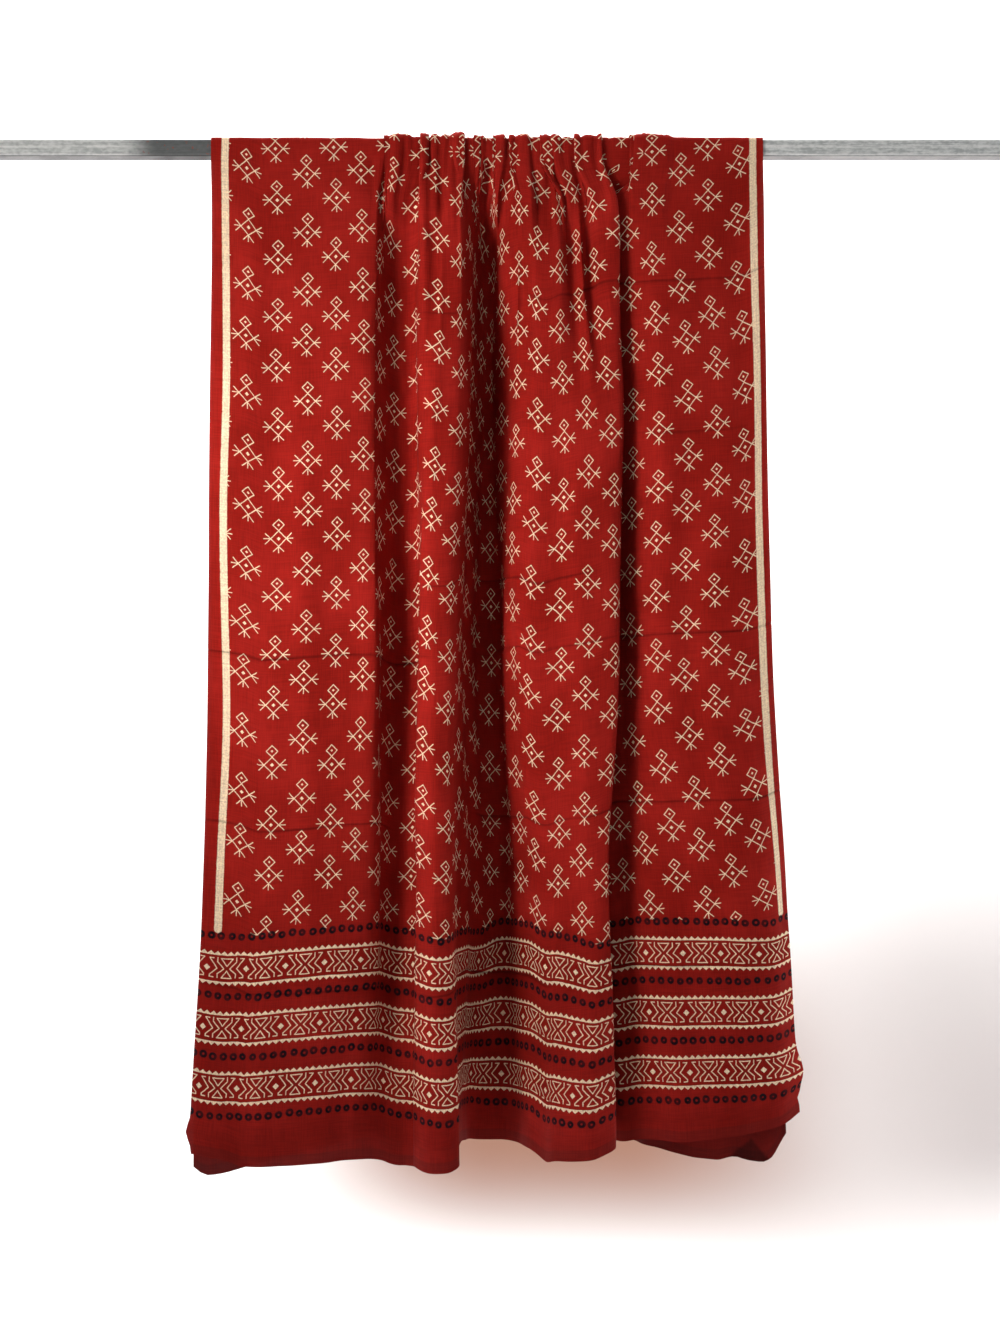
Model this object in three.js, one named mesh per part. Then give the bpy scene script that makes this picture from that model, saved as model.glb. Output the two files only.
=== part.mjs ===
import * as THREE from 'three';

// A printed cotton dupatta, one flat length of cloth folded in half over a square steel rail.
// Millimetres, +Z up, +X along the rail. The front fall hangs on the -Y side of the rail.
// The origin is the centre of the rail's left end face.

const railLength = 1360;
const railSize = 20;
const railCorner = 2;

const clothThickness = 1;
const clothClearance = 2.1; // of the cloth's inner face from the rail
const layerStep = 2.2; // from one layer of a pleat to the next
const widestStep = 24; // between two columns of the cloth's grid
const gatherHold = 22; // the pleats keep their run on the rail down to this drop
const gatherEnd = 78; // and have slid apart, mostly, at this one

// The run over the rail, in rows of [across, x, beneath]:
//   across   distance over the cloth from its left selvedge
//   x        place along the rail, from the rail's middle
//   beneath  how many layers of the cloth lie under this one
// Both sides lie flat, and ten pleats are gathered between them.
const railRows = [
  [0, -331, 0], [207, -129, 0],
  [224, -112, 0], [226, -112, 1], [239, -125, 1], [241, -125, 2], [262, -104, 2], [281, -85, 0.1],
  [294, -72, 0], [296, -72, 1], [306, -82, 1], [308, -82, 2], [328, -62, 2.2], [335, -56, 0.7],
  [342, -50, 2.2], [354, -38, 2.9], [366, -26, 2.6], [369, -26, 1.2], [390, -46, 1], [392, -46, 0],
  [433, -7, 0], [435, -7, 1], [446, -18, 1], [448, -18, 2], [462, -5, 2], [475, 4, 0.1],
  [490, 18.5, 0], [492, 18.5, 1], [506, 5, 1], [508, 5, 2], [523, 19, 2], [531, 24, 0.2],
  [555, 48, 0], [557, 48, 1], [579, 26, 1], [581, 26, 2], [604, 49, 2.2], [619, 61, 0.2],
  [638, 80, 0], [640, 80, 1], [657, 63, 1], [659, 63, 2], [677, 81, 2.2], [700, 102, 0.2],
  [708, 110, 0], [710, 110, 1], [716, 104, 1], [718, 104, 2], [725, 111, 2.4], [736, 122, 2],
  [743, 129, 2.6], [753, 138, 2.5], [756, 138, 1.2], [778, 116, 1], [780, 116, 0],
  [879, 215, 0], [881, 215, 1], [926, 170, 1], [928, 170, 2], [973, 215, 2], [985, 224, 0.1],
  [1100, 331, 0],
];

// Lower down, a section is the cloth's run at one drop below the rail's top, in rows of
// [across, x, out]. The last is the distance outwards from the plane of the rail's face,
// and is negative inwards. The front fall opens into two big folds beside deep valleys.
const frontSections = [
  {
    drop: 125,
    rows: [
      [0, -330, 4], [187, -148, 5], [205, -132, 3], [218, -127, -8], [246, -122, -21],
      [262, -114, -26], [280, -98, -25], [292, -88, -16], [302, -85, -4], [316, -74, 8],
      [325, -64, 4], [338, -52, 9], [366, -31, 10], [385, -25, -3], [401, -22, -16],
      [436, -14, -42], [471, -6, -56], [490, 2, -57], [508, 8, -48], [541, 17, -25], [560, 26, -9],
      [576, 36, 4], [592, 47, 9], [612, 59, 10], [645, 84, 10], [664, 94, 2], [679, 102, -5],
      [695, 112, 7], [712, 120, -4], [728, 131, 8], [745, 149, 11], [757, 158, 7], [768, 158, -2],
      [800, 128, -11], [832, 98, -14], [846, 96, -19], [880, 128, -21], [905, 152, -14],
      [924, 169, -2], [941, 183, 4], [965, 203, 5], [1100, 332, 4],
    ],
  },
  {
    drop: 335,
    rows: [
      [0, -332, 7], [187, -147, 8], [205, -132, 5], [214, -129, -2], [223, -128, -10],
      [242, -125, -27], [259, -114, -35], [276, -99, -36], [290, -88, -26], [302, -87, -9],
      [314, -78, 5], [330, -62, 15], [350, -46, 14], [366, -33, 8], [401, -24, -26],
      [436, -19, -60], [471, -11, -88], [490, -5, -97], [508, 4, -95], [541, 16, -72],
      [575, 31, -38], [612, 59, -10], [649, 89, 4], [684, 116, 9], [714, 139, 8], [736, 157, 4],
      [746, 161, -3], [778, 129, -16], [812, 96, -21], [828, 94, -30], [864, 129, -35],
      [896, 155, -31], [924, 176, -17], [960, 206, 3], [995, 240, 8], [1030, 273, 9],
      [1100, 335, 3],
    ],
  },
  {
    drop: 625,
    rows: [
      [0, -333, 11], [187, -149, 12], [205, -134, 10], [214, -130, 2], [223, -129, -6],
      [242, -127, -24], [259, -118, -38], [276, -104, -36], [294, -87, -29], [306, -79, -16],
      [318, -82, 2], [330, -72, 13], [350, -58, 19], [368, -44, 15], [401, -32, -14],
      [436, -27, -47], [471, -20, -77], [490, -11, -88], [508, 2, -90], [541, 19, -72],
      [560, 20, -54], [577, 29, -36], [613, 49, -8], [649, 84, 2], [684, 117, 9], [717, 147, 10],
      [731, 158, 6], [742, 161, -3], [782, 125, -20], [815, 92, -31], [830, 89, -43],
      [865, 121, -48], [905, 161, -41], [924, 174, -29], [942, 188, -17], [960, 203, -6],
      [998, 240, 3], [1033, 274, 8], [1062, 304, 8], [1100, 343, 4],
    ],
  },
  {
    drop: 905,
    rows: [
      [0, -338, 16], [150, -190, 20], [187, -156, 16], [205, -142, 8], [214, -136, 1],
      [223, -132, -6], [242, -128, -23], [259, -120, -37], [276, -106, -34], [294, -90, -25],
      [306, -82, -12], [318, -86, 7], [330, -75, 19], [350, -58, 27], [366, -45, 24],
      [401, -33, -4], [436, -24, -36], [471, -14, -68], [500, 1, -87], [520, 14, -91],
      [541, 27, -80], [575, 43, -52], [612, 61, -20], [649, 88, -1], [684, 116, 9], [706, 134, 13],
      [723, 146, 9], [734, 147, 0], [770, 119, -22], [796, 101, -37], [812, 104, -49],
      [840, 128, -47], [856, 141, -41], [889, 170, -28], [924, 200, -13], [960, 233, -1],
      [995, 266, 8], [1030, 298, 13], [1060, 328, 9], [1100, 362, -6],
    ],
  },
  {
    drop: 1160,
    rows: [
      [0, -351, 22], [56, -299, 28], [151, -206, 28], [199, -163, 17], [232, -137, -4],
      [254, -119, -13], [272, -103, -13], [290, -88, -4], [300, -87, 5], [310, -90, 13],
      [322, -84, 26], [341, -68, 39], [364, -47, 44], [380, -34, 34], [410, -33, 7],
      [435, -31, -14], [470, -27, -50], [487, -20, -65], [507, -6, -70], [530, 15, -65],
      [554, 34, -50], [578, 46, -32], [601, 58, -14], [625, 68, 7], [649, 81, 27], [673, 100, 42],
      [696, 124, 47], [716, 141, 38], [734, 151, 24], [750, 152, 8], [775, 136, -12],
      [795, 121, -26], [808, 118, -37], [820, 124, -45], [840, 142, -36], [862, 160, -13],
      [886, 180, 0], [910, 201, 10], [957, 244, 22], [1004, 287, 25], [1052, 332, 14],
      [1076, 355, 2], [1100, 377, -10],
    ],
  },
];

// The back fall has four folds of its own, the second of them round the front's deepest valley.
const backSections = [
  {
    drop: 125,
    rows: [
      [0, -331, 4], [190, -147, 4], [232, -122, 14], [262, -104, 20], [300, -82, 8],
      [340, -56, 3], [372, -42, 16], [420, -28, 44], [455, -12, 62], [480, 6, 65], [520, 24, 48],
      [560, 42, 18], [590, 60, 8], [640, 82, 20], [682, 98, 28], [718, 112, 16],
      [748, 122, 14], [790, 134, 26], [826, 144, 30], [868, 160, 16], [925, 184, 4],
      [1100, 331, 4],
    ],
  },
  {
    drop: 335,
    rows: [
      [0, -334, 8], [190, -148, 8], [236, -122, 34], [262, -104, 44], [290, -86, 32],
      [334, -60, 5], [352, -50, 6], [372, -43, 24], [410, -36, 62], [440, -26, 92],
      [466, -4, 107], [488, 14, 104], [520, 30, 76], [560, 44, 38], [590, 62, 16], [610, 74, 20],
      [648, 81, 50], [682, 92, 68], [712, 106, 52], [732, 114, 38], [748, 121, 34],
      [766, 128, 42], [798, 136, 68], [824, 148, 82], [850, 160, 66], [894, 172, 26],
      [926, 190, 8], [1100, 337, 6],
    ],
  },
  {
    drop: 625,
    rows: [
      [0, -336, 12], [190, -148, 12], [236, -122, 46], [262, -104, 60], [290, -88, 44],
      [334, -62, 8], [352, -52, 8], [372, -44, 24], [410, -38, 60], [440, -28, 88],
      [470, -2, 103], [500, 26, 92], [532, 40, 62], [572, 53, 30], [590, 64, 22], [610, 74, 28],
      [648, 81, 60], [682, 91, 84], [712, 105, 66], [732, 112, 50], [748, 119, 45],
      [766, 126, 54], [798, 133, 86], [824, 146, 100], [850, 159, 84], [894, 172, 40],
      [926, 192, 16], [1100, 342, 8],
    ],
  },
  {
    drop: 1200,
    rows: [
      [0, -360, 20], [150, -214, 28], [190, -178, 32], [236, -146, 62], [262, -130, 72],
      [290, -114, 58], [334, -84, 26], [352, -72, 22], [372, -60, 30], [410, -49, 58],
      [440, -36, 86], [470, -8, 102], [500, 24, 100], [532, 48, 78], [572, 68, 50],
      [590, 78, 44], [610, 86, 50], [648, 95, 70], [682, 108, 90], [712, 124, 74],
      [732, 132, 58], [748, 140, 50], [766, 148, 58], [798, 158, 88], [824, 172, 102],
      [850, 187, 90], [894, 206, 54], [926, 230, 36], [1000, 290, 28], [1060, 340, 14],
      [1100, 363, -4],
    ],
  },
];

// How far each fall reaches below the rail's top, in rows of [across, drop].
const frontHem = [
  [0, 1211], [46, 1219], [64, 1226], [120, 1224], [165, 1221], [199, 1221], [232, 1225],
  [272, 1236], [290, 1235], [306, 1228], [340, 1230], [364, 1228], [380, 1222], [410, 1212],
  [435, 1208], [470, 1215], [503, 1220], [553, 1218], [590, 1217], [627, 1225], [649, 1219],
  [696, 1212], [716, 1206], [750, 1200], [803, 1206], [862, 1206], [892, 1200], [951, 1197],
  [1018, 1190], [1064, 1184], [1080, 1179], [1100, 1170],
];
const backHem = [
  [0, 1246], [17, 1256], [30, 1255], [66, 1246], [108, 1236], [160, 1224], [202, 1218],
  [256, 1225], [320, 1220], [358, 1226], [420, 1231], [560, 1231], [700, 1236], [830, 1234],
  [905, 1231], [965, 1238], [989, 1239], [1015, 1234], [1033, 1238], [1052, 1239], [1066, 1234],
  [1100, 1197],
];

// Rows of the grid, as shares of each fall's reach, and the turns round a corner of the rail.
const frontShares = [0.015, 0.036, 0.066, 0.11, 0.18, 0.27, 0.38, 0.5, 0.62, 0.74, 0.87, 1];
const backShares = [0.015, 0.036, 0.066, 0.11, 0.19, 0.32, 0.5, 0.68, 0.85, 1];
const cornerTurns = [8, 45, 82];

// Slopes at the knots of a curve that never swings past its knots.
function gentleSlopes(knots, values) {
  const last = knots.length - 1;
  const rises = knots.slice(1).map((knot, i) => (values[i + 1] - values[i]) / (knot - knots[i]));
  return knots.map((knot, i) => {
    if (i === 0) return rises[0];
    if (i === last) return rises[last - 1];
    const [before, after] = [rises[i - 1], rises[i]];
    return before * after <= 0 ? 0 : (2 * before * after) / (before + after);
  });
}

// The row that ends the span round a place, and how far through the span the place is.
function spanAt(knots, at) {
  const place = THREE.MathUtils.clamp(at, knots[0], knots[knots.length - 1]);
  const next = Math.max(1, knots.findIndex((knot) => knot >= place));
  const span = knots[next] - knots[next - 1];
  return { next, span, t: (place - knots[next - 1]) / span };
}

// Functions of one number through rows of [knot, value, value, ...], in straight or curved spans.
function straightThrough(rows) {
  const knots = rows.map((row) => row[0]);
  return (at) => {
    const { next, t } = spanAt(knots, at);
    return rows[next].slice(1).map((value, k) => THREE.MathUtils.lerp(rows[next - 1][k + 1], value, t));
  };
}

function curveThrough(rows) {
  const knots = rows.map((row) => row[0]);
  const tracks = rows[0].slice(1).map((_, k) => rows.map((row) => row[k + 1]));
  const slopes = tracks.map((values) => gentleSlopes(knots, values));
  return (at) => {
    const { next, span, t } = spanAt(knots, at);
    const [t2, t3] = [t * t, t * t * t];
    return tracks.map((values, k) =>
      (2 * t3 - 3 * t2 + 1) * values[next - 1] + (3 * t2 - 2 * t3) * values[next]
      + ((t3 - 2 * t2 + t) * slopes[k][next - 1] + (t3 - t2) * slopes[k][next]) * span);
  };
}

const onRail = straightThrough(railRows.map(([across, x, beneath]) => (
  [across, x, clothClearance + clothThickness / 2 + layerStep * beneath])));
const frontReach = curveThrough(frontHem);
const backReach = curveThrough(backHem);

// The [x, out] of one column of cloth as a function of its drop. The pleats slide apart along
// the rail before the folds below them open outwards and inwards.
function columnOf(sections, across) {
  const [x, out] = onRail(across);
  const rows = sections.map(({ drop, curve }) => [drop, ...curve(across)]);
  const [, xBelow, outBelow] = rows[0];
  const slid = [THREE.MathUtils.lerp(x, xBelow, 0.9), THREE.MathUtils.lerp(out, outBelow, 0.3)];
  return curveThrough([[0, x, out], [gatherHold, x, out], [gatherEnd, ...slid], ...rows]);
}

const withCurves = (sections) => sections.map(({ drop, rows }) => ({ drop, curve: curveThrough(rows) }));
const front = withCurves(frontSections);
const back = withCurves(backSections);

// The columns stand on the rows of the rail's run, with more between them where those are far apart.
function columnPlaces() {
  const places = [0];
  railRows.slice(1).forEach(([end], i) => {
    const start = railRows[i][0];
    const steps = Math.ceil((end - start) / widestStep);
    for (let step = 1; step <= steps; step += 1) places.push(start + ((end - start) * step) / steps);
  });
  return places;
}

// One column of the middle surface, from the front hem over the rail to the back hem.
function columnPoints(across) {
  const half = railSize / 2;
  const frontColumn = columnOf(front, across);
  const backColumn = columnOf(back, across);
  const hanging = (column, drop, side) => {
    const [x, out] = column(drop);
    return new THREE.Vector3(x, side * (half + out), half - drop);
  };
  const points = [];
  for (const share of [...frontShares].reverse()) {
    points.push(hanging(frontColumn, share * frontReach(across)[0], -1));
  }
  const [x, out] = onRail(across);
  const centre = half - railCorner;
  const overCorner = (side) => (turn) => {
    const angle = THREE.MathUtils.degToRad(turn);
    const reach = railCorner + out;
    return new THREE.Vector3(x, side * (centre + reach * Math.cos(angle)), centre + reach * Math.sin(angle));
  };
  points.push(...cornerTurns.map(overCorner(-1)), ...[...cornerTurns].reverse().map(overCorner(1)));
  for (const share of backShares) {
    points.push(hanging(backColumn, share * backReach(across)[0], 1));
  }
  return points;
}

// A closed sheet: the grid of points moved half the thickness each way, with its four edges shut.
function sheetGeometry(columns, thickness) {
  const [wide, tall] = [columns.length, columns[0].length];
  const at = (i, j) => columns[THREE.MathUtils.clamp(i, 0, wide - 1)][THREE.MathUtils.clamp(j, 0, tall - 1)];
  const positions = [];
  for (const side of [1, -1]) {
    for (let i = 0; i < wide; i += 1) {
      for (let j = 0; j < tall; j += 1) {
        const over = new THREE.Vector3().subVectors(at(i + 1, j), at(i - 1, j));
        const along = new THREE.Vector3().subVectors(at(i, j + 1), at(i, j - 1));
        const normal = over.cross(along).normalize();
        positions.push(...at(i, j).clone().addScaledVector(normal, (side * thickness) / 2).toArray());
      }
    }
  }
  const point = (side, i, j) => side * wide * tall + i * tall + j;
  const faces = [];
  const quad = (a, b, c, d) => faces.push(a, b, c, a, c, d);
  for (let i = 0; i < wide - 1; i += 1) {
    for (let j = 0; j < tall - 1; j += 1) {
      quad(point(0, i, j), point(0, i + 1, j), point(0, i + 1, j + 1), point(0, i, j + 1));
      quad(point(1, i, j), point(1, i, j + 1), point(1, i + 1, j + 1), point(1, i + 1, j));
    }
  }
  for (let i = 0; i < wide - 1; i += 1) {
    quad(point(0, i, 0), point(1, i, 0), point(1, i + 1, 0), point(0, i + 1, 0));
    quad(point(0, i, tall - 1), point(0, i + 1, tall - 1), point(1, i + 1, tall - 1), point(1, i, tall - 1));
  }
  for (let j = 0; j < tall - 1; j += 1) {
    quad(point(0, 0, j), point(0, 0, j + 1), point(1, 0, j + 1), point(1, 0, j));
    quad(point(0, wide - 1, j), point(1, wide - 1, j), point(1, wide - 1, j + 1), point(0, wide - 1, j + 1));
  }
  const geometry = new THREE.BufferGeometry();
  geometry.setAttribute('position', new THREE.Float32BufferAttribute(positions, 3));
  geometry.setIndex(faces);
  return geometry;
}

function makeDupatta() {
  const geometry = sheetGeometry(columnPlaces().map(columnPoints), clothThickness);
  const material = new THREE.MeshStandardMaterial({ color: 0x8f1b18, roughness: 0.9, metalness: 0 });
  const mesh = new THREE.Mesh(geometry, material);
  mesh.name = 'dupatta';
  return mesh;
}

// A square bar with rounded corners and flat ends.
function makeRail() {
  const half = railSize / 2;
  const inner = half - railCorner;
  const outline = new THREE.Shape();
  const quarter = Math.PI / 2;
  outline.moveTo(half, -inner);
  [[inner, inner], [-inner, inner], [-inner, -inner], [inner, -inner]].forEach(([x, y], turn) => {
    outline.absarc(x, y, railCorner, turn * quarter, (turn + 1) * quarter);
  });
  const bar = { depth: railLength, bevelEnabled: false, curveSegments: 3 };
  const geometry = new THREE.ExtrudeGeometry(outline, bar);
  geometry.translate(0, 0, -railLength / 2);
  geometry.rotateY(Math.PI / 2);
  const material = new THREE.MeshStandardMaterial({ color: 0x9aa0a0, roughness: 0.4, metalness: 1 });
  const mesh = new THREE.Mesh(geometry, material);
  mesh.name = 'rail';
  return mesh;
}

// The pieces are laid out from the rail's middle, which the group puts half a rail from the origin.
const group = new THREE.Group();
group.position.x = railLength / 2;
group.add(makeRail(), makeDupatta());

export default group;
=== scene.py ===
import math
from functools import partial
import bpy
import numpy as np
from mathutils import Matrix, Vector, noise


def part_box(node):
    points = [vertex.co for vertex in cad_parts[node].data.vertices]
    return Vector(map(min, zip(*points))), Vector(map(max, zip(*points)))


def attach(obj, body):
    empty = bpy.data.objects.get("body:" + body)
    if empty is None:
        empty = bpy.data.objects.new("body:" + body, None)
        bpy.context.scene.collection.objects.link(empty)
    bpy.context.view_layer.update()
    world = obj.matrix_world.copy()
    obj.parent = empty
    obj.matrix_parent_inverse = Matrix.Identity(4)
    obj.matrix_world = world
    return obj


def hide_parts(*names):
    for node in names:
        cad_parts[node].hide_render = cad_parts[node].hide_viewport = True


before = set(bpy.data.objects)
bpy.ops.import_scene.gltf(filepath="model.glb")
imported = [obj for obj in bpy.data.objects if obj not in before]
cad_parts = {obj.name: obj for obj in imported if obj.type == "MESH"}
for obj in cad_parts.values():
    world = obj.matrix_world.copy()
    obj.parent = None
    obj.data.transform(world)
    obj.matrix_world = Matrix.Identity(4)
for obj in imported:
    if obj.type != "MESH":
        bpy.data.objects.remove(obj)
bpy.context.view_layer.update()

mm = 0.001
railLow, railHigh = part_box("rail")
railMiddle = (railLow + railHigh) / 2
railHalf = (railHigh.z - railLow.z) / 2 / mm  # half of the square tube's side


def linearColour(hexText):
    # sRGB hex to the linear values that shaders take
    levels = [int(hexText[i:i + 2], 16) / 255 for i in (1, 3, 5)]
    return [c / 12.92 if c <= 0.04045 else ((c + 0.055) / 1.055) ** 2.4 for c in levels] + [1]


# the setting that each kind of node may have after its name
modes = {
    "Math": "operation", "VectorMath": "operation", "MapRange": "interpolation_type",
    "Mix": "data_type", "TexNoise": "noise_dimensions", "TexWhiteNoise": "noise_dimensions",
    "VectorRotate": "rotation_type",
}


def addNode(tree, kind, *values, sockets=None, output=0, **settings):
    # the values fill the node's sockets in order, and sockets holds those given by name or number
    kind, _, mode = kind.partition(" ")
    node = tree.nodes.new("ShaderNode" + kind)
    if mode:
        setattr(node, modes[kind], mode)
    for name, value in settings.items():
        setattr(node, name, value)
    for name, value in {**dict(enumerate(values)), **(sockets or {})}.items():
        if isinstance(value, bpy.types.NodeSocket):
            tree.links.new(value, node.inputs[name])
        else:
            node.inputs[name].default_value = value
    return node.outputs[output] if node.outputs else node


def newMaterial(name):
    # an empty material, and the function that adds a node to it
    material = bpy.data.materials.new(name)
    material.use_nodes = True
    material.node_tree.nodes.clear()
    return material, partial(addNode, material.node_tree)


view = {
    "distance": 2.0,        # from the camera to the rail's front face
    "aside": 0.0156,        # of the cloth's middle, to the right
    "belowRailTop": 0.633,
    "frameHeight": 1.6,     # what the frame spans at the rail
    "sensor": 36,
    "farthest": 30,
}


def placeCamera():
    data = bpy.data.cameras.new("camera")
    data.sensor_fit = "VERTICAL"
    data.sensor_height = view["sensor"]
    data.lens = view["sensor"] * view["distance"] / view["frameHeight"]
    data.clip_end = view["farthest"]
    camera = bpy.data.objects.new("camera", data)
    camera.location = (
        railMiddle.x + view["aside"], railLow.y - view["distance"], railHigh.z - view["belowRailTop"])
    camera.rotation_euler = (math.radians(90), 0, 0)
    bpy.context.collection.objects.link(camera)
    bpy.context.scene.camera = camera


studio = {
    "floorSize": 14, "floorCuts": 40,
    "floorDrop": 1.9,       # of the floor below the rail
    "wallAway": 1.6,        # of the wall behind the rail
    "bend": 0.8,            # radius of the bend between floor and wall
    "paper": "#F4F2F1",
    "ambient": 0.11,
    "core": 0.2,            # the share of a shade's half width where it is full
    # each painted shade: its middle and half width along x, the heights where it starts, is full, starts
    # to fade and ends, its colour
    "paintedShades": {
        "farSide": (1.3, 1.3, -0.5, -1.55, -1.6, -1.9, "#A29C9B"),
        "beneath": (0.25, 0.95, -1.1, -1.5, -1.62, -1.9, "#A69E9C"),
        "fromCloth": (0.13, 0.66, -1.1, -1.5, -1.6, -1.78, "#866455"),
    },
    # each light: place from the rail's middle, what it faces, size, spread, power, colour
    "lights": {
        "softbox": ((-1.75, -1.6, -0.3), (-0.12, 0, -0.38), 1.3, 51, 5.0, "#FFFAF4"),
        "leftPanel": ((-1.3, -1.3, -0.4), (-0.34, 0, -0.44), 0.5, 34, 0.6, "#FFFAF4"),
        "fill": ((1.9, -2.3, -0.2), (0, 0, -0.6), 1.4, 180, 4, "#F6F7FF"),
        "wallLeft": ((-2.4, 0.35, 0.2), (-0.5, 1.6, -0.5), 1.6, 150, 60, "#FFFFFF"),
        "wallRight": ((2.4, 0.35, 0.2), (0.5, 1.6, -0.5), 1.6, 150, 55, "#FFFFFF"),
        "floorGlow": ((0, 0.7, 1.6), (0, 1.3, -1.9), 1.6, 150, 55, "#FFFFFF"),
    },
}


def placeBackdrop():
    bpy.ops.object.select_all(action="DESELECT")
    floorAt = railMiddle - Vector((0, 0, studio["floorDrop"]))
    bpy.ops.mesh.primitive_plane_add(size=studio["floorSize"], location=floorAt)
    backdrop = bpy.context.object
    backdrop.name = "backdrop"
    bpy.ops.object.transform_apply(location=True, rotation=True, scale=True)
    # the far edge of the floor turns up into the wall in a wide bend
    bpy.ops.object.mode_set(mode="EDIT")
    bpy.ops.mesh.select_all(action="SELECT")
    bpy.ops.mesh.subdivide(number_cuts=studio["floorCuts"])
    bpy.ops.object.mode_set(mode="OBJECT")
    bend = studio["bend"]
    start = railMiddle.y + studio["wallAway"] - bend
    for vertex in backdrop.data.vertices:
        past = vertex.co.y - start
        if past > 0:
            turn = min(past / bend, math.pi / 2)
            rise = max(past - bend * math.pi / 2, 0)
            vertex.co.y = start + bend * math.sin(turn)
            vertex.co.z = floorAt.z + bend * (1 - math.cos(turn)) + rise
    bpy.ops.object.shade_smooth()
    backdrop.data.materials.append(makePaper())


def makePaper():
    # matt studio paper with painted shade in its colour: on the side away from the light, and low behind
    # the cloth, tinted red-brown there as light coming through and off the red cloth would tint it
    material, add = newMaterial("backdrop paper")
    spot = add("TexCoord", output=3)
    spot = add("VectorMath SUBTRACT", spot, railMiddle)
    aside = add("SeparateXYZ", spot)
    height = aside.node.outputs[2]
    colour = linearColour(studio["paper"])
    # each painted shade is mixed into the paper's colour over its span
    for middle, half, start, full, fade, end, shadeColour in studio["paintedShades"].values():
        off = add("Math SUBTRACT", aside, middle)
        off = add("Math ABSOLUTE", off)
        share = 1.0
        for value, outside, inside in [
                (off, half, half * studio["core"]), (height, start, full), (height, end, fade)]:
            within = add("MapRange SMOOTHSTEP", value, outside, inside)
            share = add("Math MULTIPLY", share, within)
        colour = add("Mix RGBA", share, sockets={6: colour, 7: linearColour(shadeColour)}, output=2)
    shade = add("BsdfPrincipled", sockets={
        "Base Color": colour, "Roughness": 0.9, "Specular IOR Level": 0.2})
    add("OutputMaterial", sockets={"Surface": shade})
    return material


def placeLights():
    world = bpy.data.worlds.new("studio")
    world.use_nodes = True
    world.node_tree.nodes["Background"].inputs["Strength"].default_value = studio["ambient"]
    world.node_tree.nodes["Background"].inputs["Color"].default_value = (1, 1, 1, 1)
    bpy.context.scene.world = world
    bpy.context.scene.view_settings.view_transform = "Standard"  # keeps the dye's own reds
    for name, (place, target, size, spread, power, colour) in studio["lights"].items():
        data = bpy.data.lights.new(name, "AREA")
        data.shape = "DISK"
        data.size = size
        data.spread = math.radians(spread)
        data.energy = power
        data.color = linearColour(colour)[:3]
        light = bpy.data.objects.new(name, data)
        light.location = railMiddle + Vector(place)
        aim = railMiddle + Vector(target) - light.location
        light.rotation_euler = aim.to_track_quat("-Z", "Y").to_euler()
        bpy.context.collection.objects.link(light)
    print("studio placed")


# The cloth's sizes are in millimetres. Its flat places are "across" from the left selvedge and
# "along" from the front cut end. Its hung places are x from the rail's middle, "out" from the
# plane of the rail's face, and the drop below the rail's top.

cloth = {
    "width": 1100, "length": 2500,
    "corner": 2,            # radius of the tube's corners
    "clearance": 2.6,       # of the cloth's middle from the tube
    "layer": 2.2,           # from one layer of a pleat to the next
    "gatherHold": 22, "gatherEnd": 78,      # drops where the gathers begin to open and have opened
    "opened": (0.9, 0.3),   # how far they have then gone towards the first folds, in x and out
    "gathered": (205, 985), "gatherEase": 25,
    "puff": 3.2,            # how far a layer stands out for each layer beneath it
    "puffLevel": 0.7,       # the layers beneath with which it stays in place
    "drawnReach": 300,      # how far up the front is drawn up
    # the mesh: steps between its columns and rows, where it is fine, and the rows at a crease
    "flatStep": 9, "foldStep": 2.8, "frontStep": 9, "railStep": 3.6, "backStep": 26, "leastStep": 0.5,
    "fineAcross": (195, 1005), "fineOnRail": 90, "rightColumns": 14,
    "creaseRows": (-4, -2, -0.8, 0.8, 2, 4),
}

# The run over the rail: across, x, how many layers of cloth lie beneath.
railRows = [
    (0, -331, 0), (207, -129, 0), (224, -112, 0), (226, -112, 1), (239, -125, 1), (241, -125, 2),
    (262, -104, 2), (281, -85, 0.1), (294, -72, 0), (296, -72, 1), (306, -82, 1), (308, -82, 2),
    (328, -62, 2.2), (335, -56, 0.7), (342, -50, 2.2), (354, -38, 2.9), (366, -26, 2.6), (369, -26, 1.2),
    (390, -46, 1), (392, -46, 0), (433, -7, 0), (435, -7, 1), (446, -18, 1), (448, -18, 2), (462, -5, 2),
    (475, 4, 0.1), (490, 18.5, 0), (492, 18.5, 1), (506, 5, 1), (508, 5, 2), (523, 19, 2), (531, 24, 0.2),
    (555, 48, 0), (557, 48, 1), (579, 26, 1), (581, 26, 2), (604, 49, 2.2), (619, 61, 0.2), (638, 80, 0),
    (640, 80, 1), (657, 63, 1), (659, 63, 2), (677, 81, 2.2), (700, 102, 0.2), (708, 110, 0), (710, 110, 1),
    (716, 104, 1), (718, 104, 2), (725, 111, 2.4), (736, 122, 2), (743, 129, 2.6), (753, 138, 2.5),
    (756, 138, 1.2), (778, 116, 1), (780, 116, 0), (879, 215, 0), (881, 215, 1), (926, 170, 1),
    (928, 170, 2), (973, 215, 2), (985, 224, 0.1), (1100, 331, 0),
]

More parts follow.
